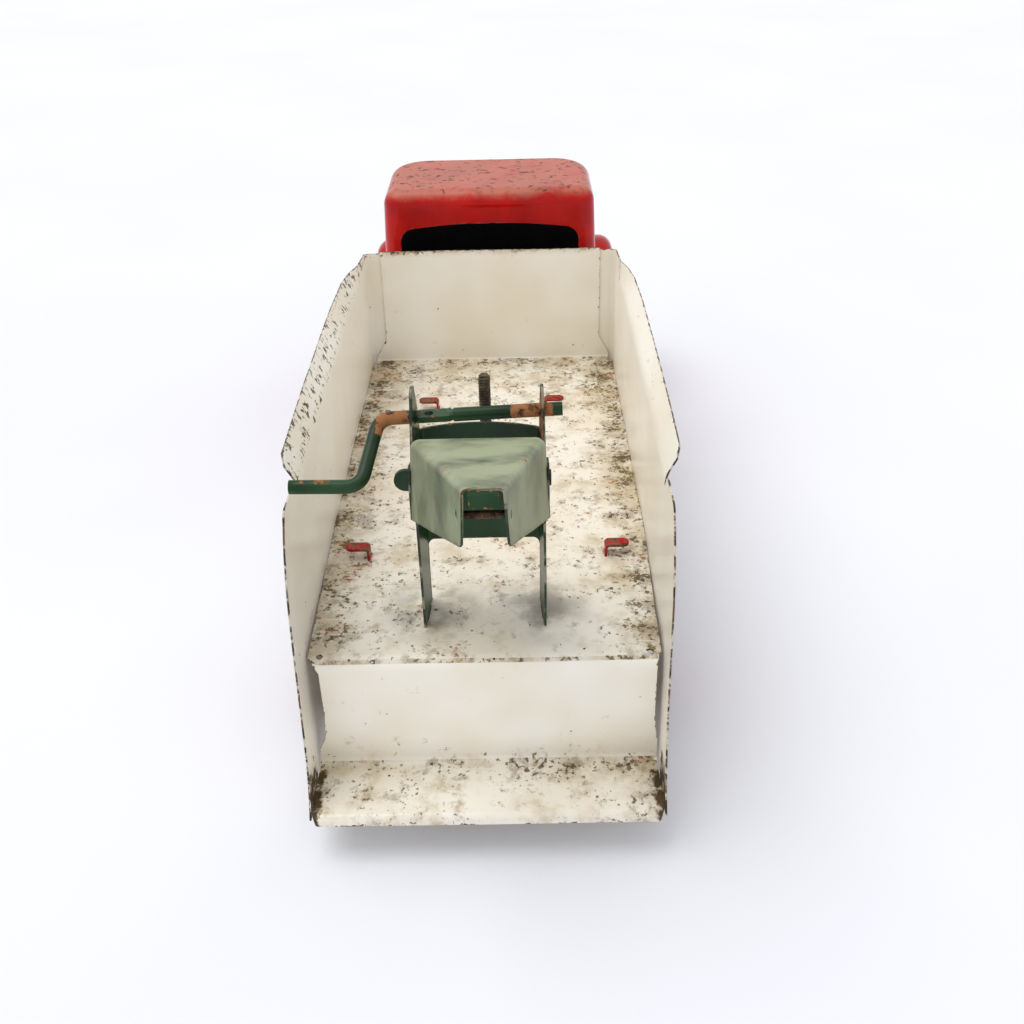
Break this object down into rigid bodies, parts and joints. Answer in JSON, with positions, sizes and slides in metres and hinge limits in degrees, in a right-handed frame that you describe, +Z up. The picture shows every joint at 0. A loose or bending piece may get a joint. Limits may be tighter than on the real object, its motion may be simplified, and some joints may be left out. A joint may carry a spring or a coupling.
{
  "type": "toy breakdown lorry",
  "caption": "Pressed-steel toy lorry with a fixed bed, a tow ledge at the tail, a pivoting jib on a mast and a crank winch.",
  "frame": {"origin": "the middle of the ground under the lorry, at the bottom centre of its box", "axes": "+Z up, the lorry's front faces -Y and its tail +Y, +X is its left side, where the winch handle is"},
  "size_m": [0.171, 0.572, 0.2061],
  "materials": {
    "cream_enamel": "gloss enamel, chipped and rust-specked",
    "red_enamel": "gloss enamel, scuffed",
    "green_enamel": "gloss enamel, worn to rust at the bearings",
    "wheel_enamel": "gloss enamel",
    "lamp_enamel": "aluminium-coloured enamel",
    "rusty_steel": "bare steel, rusted",
    "plated_steel": "dulled plating",
    "tyre_rubber": "matt moulded rubber"
  },
  "bodies": {
    "chassis": {"bed_panel": "cream_enamel", "bed_side_left": "cream_enamel", "bed_side_right": "cream_enamel", "rear_axle_bracket": "red_enamel", "chassis_frame": "red_enamel", "front_axle_bracket": "red_enamel", "mast_bracket": "green_enamel", "jib_pivot_pin": "green_enamel", "anchor_screw": "rusty_steel", "anchor_nut": "rusty_steel", "cab_shell": "red_enamel", "cab_floor": "red_enamel", "bonnet": "red_enamel", "grille_panel": "red_enamel", "front_wing_left": "red_enamel", "front_wing_right": "red_enamel", "front_bumper": "red_enamel", "headlamp_left": "lamp_enamel", "headlamp_right": "lamp_enamel", "front_axle": "rusty_steel", "front_axle_caps": "plated_steel", "rear_axle": "rusty_steel", "rear_axle_caps": "plated_steel"},
    "winch": {"winch_crank": "green_enamel"},
    "jib": {"jib": "green_enamel", "jib_nose_pin": "rusty_steel"},
    "wheel_front_left": {"tyre_front_left": "tyre_rubber", "wheel_disc_front_left": "wheel_enamel"},
    "wheel_front_right": {"tyre_front_right": "tyre_rubber", "wheel_disc_front_right": "wheel_enamel"},
    "wheel_rear_left": {"tyre_rear_left": "tyre_rubber", "wheel_disc_rear_left": "wheel_enamel"},
    "wheel_rear_right": {"tyre_rear_right": "tyre_rubber", "wheel_disc_rear_right": "wheel_enamel"}
  },
  "joints": [
    {"name": "wheel_front_left_spin", "type": "hinge", "parent": "chassis", "child": "wheel_front_left", "pos_m": [0.067, -0.2375, 0.033], "axis": [1, 0, 0], "continuous": true},
    {"name": "wheel_front_right_spin", "type": "hinge", "parent": "chassis", "child": "wheel_front_right", "pos_m": [-0.067, -0.2375, 0.033], "axis": [1, 0, 0], "continuous": true},
    {"name": "wheel_rear_left_spin", "type": "hinge", "parent": "chassis", "child": "wheel_rear_left", "pos_m": [0.0642, 0.1355, 0.033], "axis": [1, 0, 0], "continuous": true},
    {"name": "wheel_rear_right_spin", "type": "hinge", "parent": "chassis", "child": "wheel_rear_right", "pos_m": [-0.0642, 0.1355, 0.033], "axis": [1, 0, 0], "continuous": true},
    {"name": "winch_turn", "type": "hinge", "parent": "chassis", "child": "winch", "pos_m": [-0.0003, 0.1755, 0.1743], "axis": [0.9991, 0, -0.0413], "continuous": true},
    {"name": "jib_pivot", "type": "hinge", "parent": "chassis", "child": "jib", "pos_m": [0, 0.1755, 0.145], "axis": [-1, 0, 0], "range_deg": [0, 24]}
  ]
}
